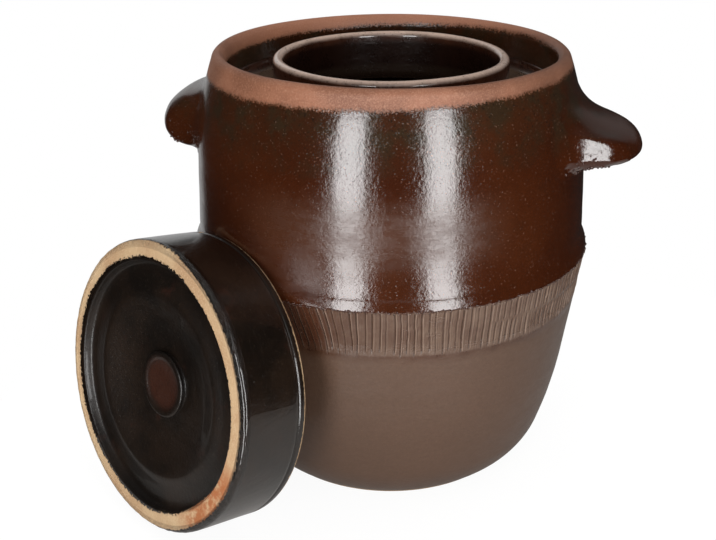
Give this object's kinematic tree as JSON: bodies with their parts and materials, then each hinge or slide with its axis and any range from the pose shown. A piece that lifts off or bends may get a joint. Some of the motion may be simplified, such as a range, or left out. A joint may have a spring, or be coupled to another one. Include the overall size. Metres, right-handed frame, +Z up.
{
  "type": "water seal pickle jar",
  "caption": "Glazed stoneware fermenting crock with a water channel between its outer rim and neck, two ears, loose lid and a pair of weight stones.",
  "frame": {"origin": "centre of the crock's flat foot, on the surface it stands on", "axes": "+Z up the crock's axis; the picture is taken looking along +Y, so the lid leans at the front left (-X, -Y) and the ears lie near +X and -X"},
  "size_m": [0.3901, 0.3343, 0.295],
  "materials": {
    "crock_glaze": "glossy red-brown salt glaze",
    "lid_glaze": "glossy black-brown glaze",
    "stone_glaze": "satin brown glaze"
  },
  "bodies": {
    "crock": {"crock_body": "crock_glaze", "channel_floor": "crock_glaze", "neck": "crock_glaze", "ear_right": "crock_glaze", "ear_left": "crock_glaze"},
    "lid": {"lid_cap": "lid_glaze", "lid_knob": "lid_glaze"},
    "back_stone": {"weight_back": "stone_glaze"},
    "front_stone": {"weight_front": "stone_glaze"}
  },
  "joints": [
    {"name": "lid_lift", "type": "slide", "parent": "crock", "child": "lid", "axis": [-0.35, -0.35, 0.8689], "range_m": [0, 0.36]},
    {"name": "back_stone_lift", "type": "slide", "parent": "crock", "child": "back_stone", "axis": [0, 0, 1], "range_m": [0, 0.215]},
    {"name": "front_stone_lift", "type": "slide", "parent": "crock", "child": "front_stone", "axis": [0, 0, 1], "range_m": [0, 0.215]}
  ]
}
